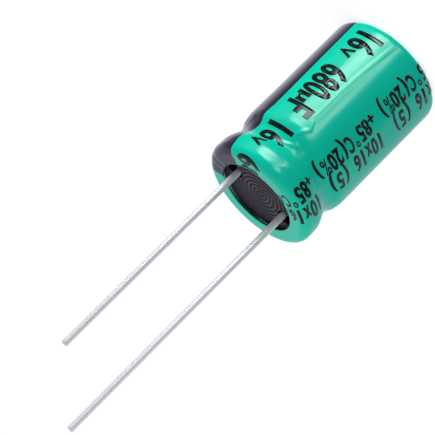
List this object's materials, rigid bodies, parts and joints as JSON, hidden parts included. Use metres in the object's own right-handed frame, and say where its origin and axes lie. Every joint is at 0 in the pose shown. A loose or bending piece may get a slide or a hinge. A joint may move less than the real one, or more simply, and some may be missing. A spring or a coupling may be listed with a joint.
{
  "type": "radial aluminium electrolytic capacitor",
  "caption": "Radial electrolytic capacitor: aluminium can in a green heat-shrink sleeve with a dark negative stripe, ringed rubber seal and tinned wire leads for a circuit board.",
  "frame": {"origin": "centre of the resting plane at the closed end", "axes": "+Z along the can towards the leads, +X from the negative lead to the positive lead"},
  "size_m": [0.0104, 0.0104, 0.0414],
  "materials": {
    "sleeve": "gloss",
    "can": "satin",
    "seal": "moulded",
    "wire": "tinned",
    "tab": "rolled",
    "anode": "etched",
    "cathode": "etched",
    "separator": "soaked",
    "tape": "film"
  },
  "bodies": {
    "root": {"sleeve": "sleeve", "can": "can", "end_seal": "seal", "lead_positive": "wire", "lead_negative": "wire", "tab_positive": "tab", "tab_negative": "tab", "anode_foil": "anode", "cathode_foil": "cathode", "separator_inner": "separator", "separator_outer": "separator", "winding_tape": "tape"}
  },
  "joints": []
}
